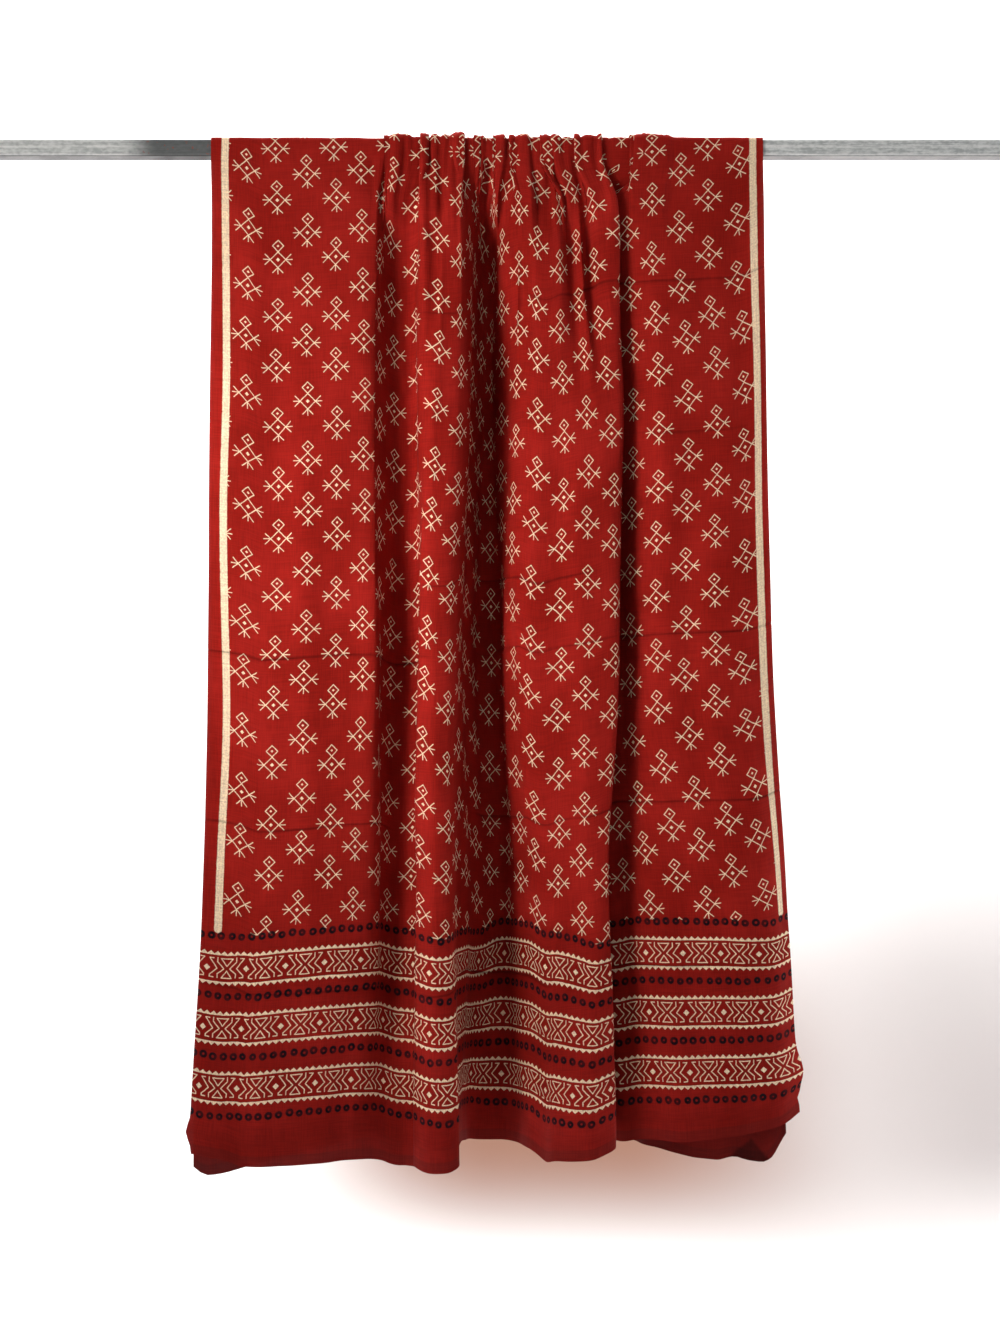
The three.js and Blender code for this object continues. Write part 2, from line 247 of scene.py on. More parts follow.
# The falls' folds: at each drop below the rail's top, rows of across, x, out.
frontFolds = {
    125: [
        (0, -330, 4), (187, -148, 5), (205, -132, 3), (218, -127, -8), (246, -122, -21), (262, -114, -26),
        (280, -98, -25), (292, -88, -16), (302, -85, -4), (316, -74, 8), (325, -64, 4), (338, -52, 9),
        (366, -31, 10), (385, -25, -3), (401, -22, -16), (436, -14, -42), (471, -6, -56), (490, 2, -57),
        (508, 8, -48), (541, 17, -25), (560, 26, -9), (576, 36, 4), (592, 47, 9), (612, 59, 10),
        (645, 84, 10), (664, 94, 2), (679, 102, -5), (695, 112, 7), (712, 120, -4), (728, 131, 8),
        (745, 149, 11), (757, 158, 7), (768, 158, -2), (800, 128, -11), (832, 98, -14), (846, 96, -19),
        (880, 128, -21), (905, 152, -14), (924, 169, -2), (941, 183, 4), (965, 203, 5), (1100, 332, 4),
    ],
    335: [
        (0, -332, 7), (187, -147, 8), (205, -132, 5), (214, -129, -2), (223, -128, -10), (242, -125, -27),
        (259, -114, -35), (276, -99, -36), (290, -88, -26), (302, -87, -9), (314, -78, 5), (330, -62, 15),
        (350, -46, 14), (366, -33, 8), (401, -24, -26), (436, -19, -60), (471, -11, -88), (490, -5, -97),
        (508, 4, -95), (541, 16, -72), (575, 31, -38), (612, 59, -10), (649, 89, 4), (684, 116, 9),
        (714, 139, 8), (736, 157, 4), (746, 161, -3), (778, 129, -16), (812, 96, -21), (828, 94, -30),
        (864, 129, -35), (896, 155, -31), (924, 176, -17), (960, 206, 3), (995, 240, 8), (1030, 273, 9),
        (1100, 335, 3),
    ],
    625: [
        (0, -333, 11), (187, -149, 12), (205, -134, 10), (214, -130, 2), (223, -129, -6), (242, -127, -24),
        (259, -118, -38), (276, -104, -36), (294, -87, -29), (306, -79, -16), (318, -82, 2), (330, -72, 13),
        (350, -58, 19), (368, -44, 15), (401, -32, -14), (436, -27, -47), (471, -20, -77), (490, -11, -88),
        (508, 2, -90), (541, 19, -72), (560, 20, -54), (577, 29, -36), (613, 49, -8), (649, 84, 2),
        (684, 117, 9), (717, 147, 10), (731, 158, 6), (742, 161, -3), (782, 125, -20), (815, 92, -31),
        (830, 89, -43), (865, 121, -48), (905, 161, -41), (924, 174, -29), (942, 188, -17), (960, 203, -6),
        (998, 240, 3), (1033, 274, 8), (1062, 304, 8), (1100, 343, 4),
    ],
    905: [
        (0, -338, 16), (150, -190, 20), (187, -156, 16), (205, -142, 8), (214, -136, 1), (223, -132, -6),
        (242, -128, -23), (259, -120, -37), (276, -106, -34), (294, -90, -25), (306, -82, -12),
        (318, -86, 7), (330, -75, 19), (350, -58, 27), (366, -45, 24), (401, -33, -4), (436, -24, -36),
        (471, -14, -68), (500, 1, -87), (520, 14, -91), (541, 27, -80), (575, 43, -52), (612, 61, -20),
        (649, 88, -1), (684, 116, 9), (706, 134, 13), (723, 146, 9), (734, 147, 0), (770, 119, -22),
        (796, 101, -37), (812, 104, -49), (840, 128, -47), (856, 141, -41), (889, 170, -28),
        (924, 200, -13), (960, 233, -1), (995, 266, 8), (1030, 298, 13), (1060, 328, 9), (1100, 362, -6),
    ],
    1160: [
        (0, -351, 22), (56, -299, 28), (151, -206, 28), (199, -163, 17), (232, -137, -4), (254, -119, -13),
        (272, -103, -13), (290, -88, -4), (300, -87, 5), (310, -90, 13), (322, -84, 26), (341, -68, 39),
        (364, -47, 44), (380, -34, 34), (410, -33, 7), (435, -31, -14), (470, -27, -50), (487, -20, -65),
        (507, -6, -70), (530, 15, -65), (554, 34, -50), (578, 46, -32), (601, 58, -14), (625, 68, 7),
        (649, 81, 27), (673, 100, 42), (696, 124, 47), (716, 141, 38), (734, 151, 24), (750, 152, 8),
        (775, 136, -12), (795, 121, -26), (808, 118, -37), (820, 124, -45), (840, 142, -36),
        (862, 160, -13), (886, 180, 0), (910, 201, 10), (957, 244, 22), (1004, 287, 25), (1052, 332, 14),
        (1076, 355, 2), (1100, 377, -10),
    ],
}
backFolds = {
    125: [
        (0, -331, 4), (190, -147, 4), (232, -122, 14), (262, -104, 20), (300, -82, 8), (340, -56, 3),
        (372, -42, 16), (420, -28, 44), (455, -12, 62), (480, 6, 65), (520, 24, 48), (560, 42, 18),
        (590, 60, 8), (640, 82, 20), (682, 98, 28), (718, 112, 16), (748, 122, 14), (790, 134, 26),
        (826, 144, 30), (868, 160, 16), (925, 184, 4), (1100, 331, 4),
    ],
    335: [
        (0, -334, 8), (190, -148, 8), (236, -122, 34), (262, -104, 44), (290, -86, 32), (334, -60, 5),
        (352, -50, 6), (372, -43, 24), (410, -36, 62), (440, -26, 92), (466, -4, 107), (488, 14, 104),
        (520, 30, 76), (560, 44, 38), (590, 62, 16), (610, 74, 20), (648, 81, 50), (682, 92, 68),
        (712, 106, 52), (732, 114, 38), (748, 121, 34), (766, 128, 42), (798, 136, 68), (824, 148, 82),
        (850, 160, 66), (894, 172, 26), (926, 190, 8), (1100, 337, 6),
    ],
    625: [
        (0, -336, 12), (190, -148, 12), (236, -122, 46), (262, -104, 60), (290, -88, 44), (334, -62, 8),
        (352, -52, 8), (372, -44, 24), (410, -38, 60), (440, -28, 88), (470, -2, 103), (500, 26, 92),
        (532, 40, 62), (572, 53, 30), (590, 64, 22), (610, 74, 28), (648, 81, 60), (682, 91, 84),
        (712, 105, 66), (732, 112, 50), (748, 119, 45), (766, 126, 54), (798, 133, 86), (824, 146, 100),
        (850, 159, 84), (894, 172, 40), (926, 192, 16), (1100, 342, 8),
    ],
    1200: [
        (0, -360, 20), (150, -214, 28), (190, -178, 32), (236, -146, 62), (262, -130, 72), (290, -114, 58),
        (334, -84, 26), (352, -72, 22), (372, -60, 30), (410, -49, 58), (440, -36, 86), (470, -8, 102),
        (500, 24, 100), (532, 48, 78), (572, 68, 50), (590, 78, 44), (610, 86, 50), (648, 95, 70),
        (682, 108, 90), (712, 124, 74), (732, 132, 58), (748, 140, 50), (766, 148, 58), (798, 158, 88),
        (824, 172, 102), (850, 187, 90), (894, 206, 54), (926, 230, 36), (1000, 290, 28), (1060, 340, 14),
        (1100, 363, -4),
    ],
}

# How far each fall reaches below the rail's top: across, drop.
frontHem = [
    (0, 1211), (46, 1219), (64, 1226), (120, 1224), (165, 1221), (199, 1221), (232, 1225), (272, 1236),
    (290, 1235), (306, 1228), (340, 1230), (364, 1228), (380, 1222), (410, 1212), (435, 1208), (470, 1215),
    (503, 1220), (553, 1218), (590, 1217), (627, 1225), (649, 1219), (696, 1212), (716, 1206), (750, 1200),
    (803, 1206), (862, 1206), (892, 1200), (951, 1197), (1018, 1190), (1064, 1184), (1080, 1179),
    (1100, 1170),
]
backHem = [
    (0, 1246), (17, 1256), (30, 1255), (66, 1246), (108, 1236), (160, 1224), (202, 1218), (256, 1225),
    (320, 1220), (358, 1226), (420, 1231), (560, 1231), (700, 1236), (830, 1234), (905, 1231), (965, 1238),
    (989, 1239), (1015, 1234), (1033, 1238), (1052, 1239), (1066, 1234), (1100, 1197),
]
# Where a selvedge juts out or in near its corner: across, along, how far to the right, and the
# reach of this across and along.
selvedgeBulges = [(0, 27, -6, 26, 13), (1100, 54, 7, 30, 19), (1100, 16, -3, 24, 6)]
# How much the front's last 300 mm are drawn up: across, amount.
drawnUp = [(0, 9), (40, 8), (190, 6), (260, 2), (341, 0), (862, 0), (952, 3), (1042, 10), (1100, 15)]

# Creases left from storage: along, from and to across, depth.
storageCreases = [
    (208, 0, 250, 1.2), (206, 330, 640, 1.9), (208, 760, 1000, 1.3), (405, 0, 260, 1.6),
    (400, 470, 760, 1.5), (404, 860, 1100, 1.7), (608, 0, 330, 1.9), (608, 520, 720, 1.5),
    (605, 760, 1100, 1.9), (692, 320, 400, 1.4), (693, 480, 690, 1.4), (848, 960, 1060, 1.2),
    (1018, 318, 372, 1.3), (1030, 600, 1100, 1.5), (1460, 0, 1100, 1.1), (1660, 0, 1100, 1.2),
    (1865, 0, 1100, 1.2), (2070, 0, 1100, 1.2), (2275, 0, 1100, 1.1),
]

# Narrow valleys between the pleats under the rail: across, from and to drop, depth, half width,
# and how far the valley's lower end lies to the right.
pleatValleys = [
    (60, 0, 60, 0.8, 4, 0), (148, 0, 70, 1.2, 4, 4), (196, 0, 150, 3, 5, 2), (214, 0, 250, 8, 4, 6),
    (247, 0, 190, 7, 3.5, -8), (268, 10, 120, 4.5, 3.5, 4), (300, 0, 280, 8, 4, -3),
    (322, 0, 150, 6, 3, -3), (345, 0, 110, 5, 3, -4), (356, 10, 170, 4, 3, 2), (377, 0, 130, 7, 4, 4),
    (452, 0, 130, 8, 4.5, 5), (476, 0, 280, 11, 6, 2), (512, 0, 120, 6, 3.5, -4), (540, 0, 150, 5, 3.5, 3),
    (590, 0, 120, 6, 3.5, -5), (612, 10, 170, 4, 4, 3), (634, 0, 140, 5.4, 3.5, -3),
    (668, 0, 230, 8, 4.5, 4), (686, 0, 90, 5, 3, 2), (704, 10, 130, 5, 3, -2), (727, 0, 110, 6, 3, 4),
    (742, 0, 160, 7, 3.5, 0), (905, 0, 130, 4, 4, 3), (934, 0, 110, 5, 3.5, -3), (968, 0, 90, 2.4, 4, 2),
    (1010, 0, 60, 1.2, 4, 0),
]


# The finer relief on the main folds, in millimetres. It fades in down from the rail.
relief = {
    "start": 40, "ease": 220,
    # each ripple: width, height, start, and how far it wanders sideways over the wander's run
    "ripples": [(118, 1.7, 0.3, 40), (71, 1.1, 2.1, -26), (43, 0.55, 4.0, 16)],
    "wanderRun": 310, "bump": 2.4, "bumpSize": (46, 120),
    # puckers over the rail: height, where they are, widths and sharpness
    "pucker": 1.9, "puckered": (205, 1000), "puckerEase": (30, 40), "puckerReach": 60,
    "puckerWide": 8.5, "puckerFine": 3.6, "puckerSharp": 3.2,
    "valleyEase": 9, "valleyStart": 0.35, "valleyEnd": 1.5, "valleyWander": 1.6, "valleyRun": 37,
    "room": 0.8,            # how far the cloth may sink towards the tube
    "roomFrom": 2, "roomGrowth": 0.6,       # and from this far under the tube, for each mm further
    # storage creases: half width, half width of the painted shade line along the bottom, and their
    # unevenness
    "crease": 2.0, "creaseShadeLine": 1.1, "creaseWander": 1.2, "creaseRun": 41, "creaseEase": 30,
    "uneven": 0.2, "unevenRuns": (23, 61),
}


def gentleSlopes(knots, values):
    # slopes at the knots of a curve that never swings past its knots
    rises = np.diff(values, axis=0) / np.diff(knots)[:, None]
    before, after = rises[:-1], rises[1:]
    same = before * after > 0
    total = np.where(same, before + after, 1)
    inner = np.where(same, 2 * before * after / total, 0)
    return np.concatenate([rises[:1], inner, rises[-1:]])


def curveThrough(knots, values, places):
    # values has a row for each knot; the result has a row for each place
    knots = np.asarray(knots, float)
    slopes = gentleSlopes(knots, values)
    places = np.clip(places, knots[0], knots[-1])
    end = np.clip(np.searchsorted(knots, places), 1, len(knots) - 1)
    span = (knots[end] - knots[end - 1])[:, None]
    t = (places - knots[end - 1])[:, None] / span
    start = (2 * t ** 3 - 3 * t ** 2 + 1) * values[end - 1]
    start += (t ** 3 - 2 * t ** 2 + t) * span * slopes[end - 1]
    return start + (3 * t ** 2 - 2 * t ** 3) * values[end] + (t ** 3 - t ** 2) * span * slopes[end]


def throughRows(rows, places):
    table = np.array(rows, float)
    return curveThrough(table[:, 0], table[:, 1:], places)


def between(places, start, end, easeIn, easeOut):
    # 1 between two places, 0 outside them, and a slope inside each
    return np.clip((places - start) / easeIn, 0, 1) * np.clip((end - places) / easeOut, 0, 1)


def flatColumns():
    # the cloth's columns are closest where it is gathered
    start, end = cloth["fineAcross"]
    left = np.arange(0, start, cloth["flatStep"])
    middle = np.arange(start, end, cloth["foldStep"])
    right = np.linspace(end, cloth["width"], cloth["rightColumns"])
    return np.concatenate([left, middle, right])


def flatRows():
    # and its rows are closest on the rail, then on the front fall
    start = cloth["length"] / 2 - cloth["fineOnRail"]
    end = cloth["length"] / 2 + cloth["fineOnRail"]
    front = np.arange(0, start, cloth["frontStep"])
    rail = np.arange(start, end, cloth["railStep"])
    back = np.arange(end, cloth["length"], cloth["backStep"])
    # closer still at each crease
    lines = sorted({along for along, *_ in storageCreases})
    creased = [along + step for along in lines for step in cloth["creaseRows"]]
    rows = np.sort(np.concatenate([front, rail, back, creased, [cloth["length"]]]))
    return np.concatenate([rows[:1], rows[1:][np.diff(rows) > cloth["leastStep"]]])


def hangFall(folds, drops, across, onRail):
    # places of one fall: drops has a row for each of the cloth's rows and a column for each column
    levels = sorted(folds)
    sections = np.stack([throughRows(folds[level], across) for level in levels])
    opened = onRail + np.array(cloth["opened"]) * (sections[0] - onRail)
    # under the rail the upper layers puff out and the lower ones sink in
    gathered = between(across, *cloth["gathered"], cloth["gatherEase"], cloth["gatherEase"])
    layers = (onRail[:, 1] - cloth["clearance"]) / cloth["layer"]
    opened[:, 1] += cloth["puff"] * gathered * (layers - cloth["puffLevel"])
    knots = [0, cloth["gatherHold"], cloth["gatherEnd"], *levels]
    values = np.concatenate([[onRail, onRail, opened], sections])
    hung = np.empty(drops.shape + (2,))
    for column in range(len(across)):
        hung[:, column] = curveThrough(knots, values[:, column], drops[:, column])
    return hung


def hangCloth(across, along):
    # the place of each point of the flat grid, rows by columns by xyz
    table = np.array(railRows, float)
    onRail = np.stack([
        np.interp(across, table[:, 0], table[:, 1]),
        cloth["clearance"] + cloth["layer"] * np.interp(across, table[:, 0], table[:, 2]),
    ], axis=1)
    drawn = throughRows(drawnUp, across)[:, 0]
    reachFront = throughRows(frontHem, across)[:, 0] + drawn
    reachBack = throughRows(backHem, across)[:, 0]
    bend = cloth["corner"] + onRail[:, 1]
    flatTop = 2 * (railHalf - cloth["corner"])
    total = reachFront + reachBack - 2 * cloth["corner"] + math.pi * bend + flatTop
    halfway = reachFront - cloth["corner"] + (math.pi * bend + flatTop) / 2
    # the way from the front hem, as hung: the back fall is eased to end at its own hem
    easing = (total - halfway) / (cloth["length"] - halfway)
    travel = along[:, None] + (easing - 1) * np.clip(along[:, None] - halfway, 0, None)
    dropFront = reachFront - travel
    dropFront -= drawn * np.clip(1 - along / cloth["drawnReach"], 0, 1)[:, None]
    dropBack = travel - (reachFront - 2 * cloth["corner"] + math.pi * bend + flatTop)
    front = hangFall(frontFolds, np.clip(dropFront, 0, None), across, onRail)
    back = hangFall(backFolds, np.clip(dropBack, 0, None), across, onRail)
    # round the tube: a quarter turn, the flat top and another quarter turn
    past = travel - (reachFront - cloth["corner"])
    quarter = math.pi / 2 * bend
    inner = railHalf - cloth["corner"]
    firstTurn = np.clip(past / quarter, 0, 1) * math.pi / 2
    overTop = np.clip(past - quarter, 0, flatTop)
    secondTurn = np.clip((past - quarter - flatTop) / quarter, 0, 1) * math.pi / 2
    y = -inner - bend * np.cos(firstTurn) + overTop + bend * np.sin(secondTurn)
    z = inner + bend * np.sin(firstTurn) - bend * (1 - np.cos(secondTurn))
    isFront = past < 0
    isBack = past > 2 * quarter + flatTop
    places = zip(
        (front[..., 0], -railHalf - front[..., 1], railHalf - dropFront),
        (back[..., 0], railHalf + back[..., 1], railHalf - dropBack), (onRail[:, 0], y, z))
    return np.stack([np.where(isFront, a, np.where(isBack, b, c)) for a, b, c in places], axis=2)


def surfaceNormals(places):
    over = np.gradient(places, axis=1)
    up = np.gradient(places, axis=0)
    normals = np.cross(over, up)
    return normals / np.maximum(np.linalg.norm(normals, axis=2, keepdims=True), 1e-9)


def softRelief(across, along, heights):
    # ripples and creases that stand out from the main folds, in mm along the normal
    u, v = np.meshgrid(across, along)
    raised = np.zeros_like(u)
    fromTop = np.abs(v - cloth["length"] / 2)
    fall = np.clip((fromTop - relief["start"]) / relief["ease"], 0, 1)
    # slow ripples that wander as they run down
    for width, amount, start, wander in relief["ripples"]:
        shift = wander * np.sin(v / relief["wanderRun"] + start)
        raised += amount * fall * np.sin(2 * math.pi * (u + shift) / width + start)
    wide, tall = relief["bumpSize"]
    bumps = np.array([
        noise.noise(Vector((a / wide, b / tall, 0.7))) for a, b in zip(u.ravel(), v.ravel())])
    raised += relief["bump"] * fall * bumps.reshape(u.shape)
    # puckers where the gathered cloth goes over the rail
    gathered = between(across, *relief["puckered"], *relief["puckerEase"])
    broad = np.array([abs(noise.noise(Vector((a / relief["puckerWide"], 0.2, 3.1)))) for a in across])
    fine = np.array([abs(noise.noise(Vector((a / relief["puckerFine"], 4, 1)))) for a in across])
    pucker = 1 - relief["puckerSharp"] * broad - fine
    onTop = np.clip(1 - fromTop / relief["puckerReach"], 0, 1)
    raised += relief["pucker"] * (pucker * gathered)[None, :] * onTop
    for place, start, end, depth, half, slant in pleatValleys:
        share = (fromTop - start) / (end - start)
        strength = np.clip((fromTop - start) / relief["valleyEase"] + relief["valleyStart"], 0, 1)
        strength *= np.clip(relief["valleyEnd"] * (1 - share), 0, 1)
        wander = relief["valleyWander"] * np.sin(v / relief["valleyRun"] + place)
        raised -= depth * strength * np.exp(-np.abs(u - place - slant * share - wander) / half)
    # the cloth stays outside the tube
    table = np.array(railRows, float)
    room = relief["room"] + cloth["layer"] * np.interp(across, table[:, 0], table[:, 2])
    belowTube = np.clip(-railHalf - relief["roomFrom"] - heights, 0, None)
    raised = np.maximum(raised, -room[None, :] - relief["roomGrowth"] * belowTube)
    return raised - creaseDepth(u, v, relief["crease"])


def creaseDepth(u, v, halfWidth):
    # how deep the storage creases are at each flat place, in mm
    depths = np.zeros_like(u)
    ease = relief["creaseEase"]
    for line, start, end, depth in storageCreases:
        stray = v - line - relief["creaseWander"] * np.sin(u / relief["creaseRun"] + line)
        ends = between(u, start - ease / 2, end + ease / 2, ease, ease)
        slow, slower = relief["unevenRuns"]
        uneven = 1 - relief["uneven"] + relief["uneven"] * np.sin(u / slow + line) * np.sin(u / slower)
        depths += depth * np.exp(-(stray / halfWidth) ** 2) * ends * uneven
    return depths


def makeCloth():
    across, along = flatColumns(), flatRows()
    places = hangCloth(across, along)
    places += softRelief(across, along, places[..., 2])[..., None] * surfaceNormals(places)
    u, v = np.meshgrid(across, along)
    for spot, height, shift, reachAcross, reachAlong in selvedgeBulges:
        away = ((u - spot) / reachAcross) ** 2 + ((v - height) / reachAlong) ** 2
        places[..., 0] += shift * np.exp(-away)
    wide, tall = len(across), len(along)
    bpy.ops.object.select_all(action="DESELECT")
    bpy.ops.mesh.primitive_grid_add(x_subdivisions=wide - 1, y_subdivisions=tall - 1, size=1)
    piece = bpy.context.object
    piece.name = "printed_cloth"
    mesh = piece.data
    flat = np.empty(len(mesh.vertices) * 3)
    mesh.vertices.foreach_get("co", flat)
    flat = flat.reshape(-1, 3)
    column = np.rint((flat[:, 0] + 0.5) * (wide - 1)).astype(int)
    row = np.rint((flat[:, 1] + 0.5) * (tall - 1)).astype(int)
    hung = places[row, column] * mm + np.array([railMiddle.x, railMiddle.y, railMiddle.z])
    mesh.vertices.foreach_set("co", hung.ravel())
    # the UV map holds each point's place on the flat cloth
    corners = np.empty(len(mesh.loops), int)
    mesh.loops.foreach_get("vertex_index", corners)
    uv = np.stack([across[column] / cloth["width"], along[row] / cloth["length"]], axis=1)[corners]
    layer = mesh.uv_layers.active or mesh.uv_layers.new(name="UVMap")
    layer.name = "UVMap"
    layer.data.foreach_set("uv", uv.ravel())
    # and an attribute holds how deep each crease is along its narrow bottom line, which the cotton reads to
    # paint shade there
    creased = creaseDepth(u, v, relief["creaseShadeLine"])[row, column]
    mesh.attributes.new("creased", "FLOAT", "POINT").data.foreach_set("value", creased.astype(np.float32))
    mesh.update()
    bpy.ops.object.shade_smooth()
    print("cloth hung,", wide, "columns and", tall, "rows")
    return piece


# The print's sizes are in millimetres on the flat cloth.

printing = {
    # the bands: half widths of a line and of the diamond between units, and the teeth's line and
    # points
    "bandMiddle": 90.4, "bandPitch": 71.2, "bands": 3, "unit": 47.4, "firstUnit": 32.7,
    "bandLine": 0.58, "bandDiamond": 3.7, "bandSoft": 0.35,
    "tooth": 7.9, "toothSlope": 0.9, "toothStart": 16.9, "toothFoot": 15.75,
    # the rings: radius, how much it varies, half width of the line, how far each strays
    "ringRow": 57, "ringPitch": 71.4, "ringRows": 4, "ring": 12.2, "ringSize": 2.5,
    "ringSpread": 0.7, "ringLine": 1.75, "ringSoft": 0.6, "ringStray": (0.8, 0.9, 0),
    "borderEnd": 273,
    # the plain stripes: how far in each lies and how far it wanders, and how far it passes the field
    "stripWidth": 8.8, "stripLeft": (19.5, 11), "stripRight": (12.4, -4), "stripRun": 330,
    "stripPast": 6, "stripSoft": 0.5,
}
# The border runs askew to the front end: across, how far in its first row of rings lies, and how
# much further in than square to this its last row lies.
borderSkew = [
    (0, 52, 3), (30, 51, 3), (66, 60, 4), (190, 64, 4), (271, 62, 5), (327, 60, 0), (348, 59, -2),
    (380, 56, -2), (410, 49, -6), (440, 47, -9), (470, 48, -10), (487, 49, -8), (505, 48, -1), (525, 47, 5),
    (545, 47, 6), (588, 49, 5), (625, 51, 3), (658, 46, 0), (680, 43, -4), (696, 42, -10), (711, 42, -14),
    (740, 41, -14), (800, 44, -4), (850, 46, -3), (960, 49, -3), (1050, 42, 0), (1100, 35, 0),
]
# The field is stamped with a block of four columns, three motifs each, every other column lower.
# A wider gap was left beside the columns of blocks at the right.
stamping = {
    "block": (142.8, 202), "column": 71.4, "row": 70.4, "rows": 3, "lower": (35.7, -32),
    "start": (43, 240.5), "below": 26.3, "gapAt": 868, "gap": 24,
    # how far a print of the block strays, leans and sways, and how far a motif strays and turns
    "blockStray": 1.5, "lean": 0.02, "sway": 2.5, "swayStep": 1.1, "swayStart": -1.3,
    "stray": (0.8, 0.8, 0), "turn": 0.03,
    "line": 0.52, "diamonds": [((0, 0), 2.3), ((0, 16.3), 1.6)], "soft": 0.3,
}
# How each column of blocks was set down: how far up, at most 200, how much its rows rise to the
# right, and how far its motifs are turned.
blockColumns = [
    (0, -0.04, 0.0), (-2, -0.02, 0.0), (-19, -0.27, 0.0), (-24, -0.09, 0.0), (-31, -0.14, 0.0),
    (-36, -0.03, 0.0), (-33, 0.07, 0.04), (-20, 0.1, 0.12),
]
# The right half of the field's motif, as lines through points.
motifLines = [
    [(0, 9.3), (15.4, -6.1)], [(15.4, 6.1), (0, -9.3), (6.1, -15.4)], [(10, 0), (17.2, 0)],
    [(0, -10), (0, -16.8)], [(0, 23), (6.7, 16.3), (0, 9.6)],
]
# And of the border's unit: half an hourglass and two chevrons.
borderLines = [
    [(0, 11.9), (7, 11.9), (0, 3)], [(0, -2.6), (6.1, -11.2), (0, -11.2)],
    [(11.4, 12.6), (11.5, 7.9), (3.6, 0), (11.2, -6.7), (11, -11)],
    [(16, 12), (20.6, 11.9), (11.8, 0), (20.2, -8.3), (20.2, -10.6), (15.9, -10.9)],
]
mostUp = 200


def tableRamp(add, place, rows, interpolation):
    # a ramp that holds a table: for each row its place from 0 to 1 and its three values
    ramp = add("ValToRGB", place)
    ramp.node.color_ramp.interpolation = interpolation
    stops = ramp.node.color_ramp.elements
    for count, (at, values) in enumerate(rows):
        stop = stops[0] if count == 0 else stops.new(at)
        stop.color = (*values, 1)
    stops.remove(stops[-1])
    return ramp


def nearestLine(add, point, lines):
    # distance from a point to the nearest of some lines
    nearest = None
    for start, end in [pair for line in lines for pair in zip(line, line[1:])]:
        run = Vector((end[0] - start[0], end[1] - start[1], 0))
        away = add("VectorMath SUBTRACT", point, (start[0], start[1], 0))
        share = add("VectorMath DOT_PRODUCT", away, run / run.length_squared, output=1)
        share = add("Clamp", share)
        foot = add("VectorMath SCALE", run, sockets={3: share})
        gap = add("VectorMath DISTANCE", away, foot, output=1)
        nearest = gap if nearest is None else add("Math MINIMUM", nearest, gap)
    return nearest


def diamondDistance(add, point, middle, half):
    # how far a point is outside a small solid diamond
    away = add("VectorMath SUBTRACT", point, (middle[0], middle[1], 0))
    away = add("VectorMath ABSOLUTE", away)
    sideways = add("VectorMath DOT_PRODUCT", away, (1, 1, 0), output=1)
    return add("Math SUBTRACT", sideways, half)


def inkFrom(add, distance, half, soft):
    # full ink within the half width, none past it, with a soft edge between
    return add("MapRange SMOOTHSTEP", distance, half - soft, half + soft, 1.0, 0.0)


def foldedIn(add, point):
    # the mirror image: x and -x draw the same
    x = add("SeparateXYZ", point)
    y = x.node.outputs[1]
    x = add("Math ABSOLUTE", x)
    return add("CombineXYZ", x, y)


def repeatAt(add, place, pitch, rounding="ROUND", number=None):
    # which repeat a place is in, of this number where it is given, and how far into it
    which = add("Math DIVIDE", place, pitch)
    which = add("Math " + rounding, which)
    if number is not None:
        which = add("Clamp", which, 0, number - 1)
    return which, add("Math MULTIPLY_ADD", which, -pitch, place)


def chanceFor(add, *which):
    # three random values from 0 to 1 for each repeat
    which = add("CombineXYZ", *which)
    return add("TexWhiteNoise 3D", sockets={"Vector": which}, output=1)


def strayBy(add, chance, reach):
    # random values from 0 to 1 made to range this far to either side of 0
    reach = Vector(reach)
    return add("VectorMath MULTIPLY_ADD", chance, reach * 2, -reach)


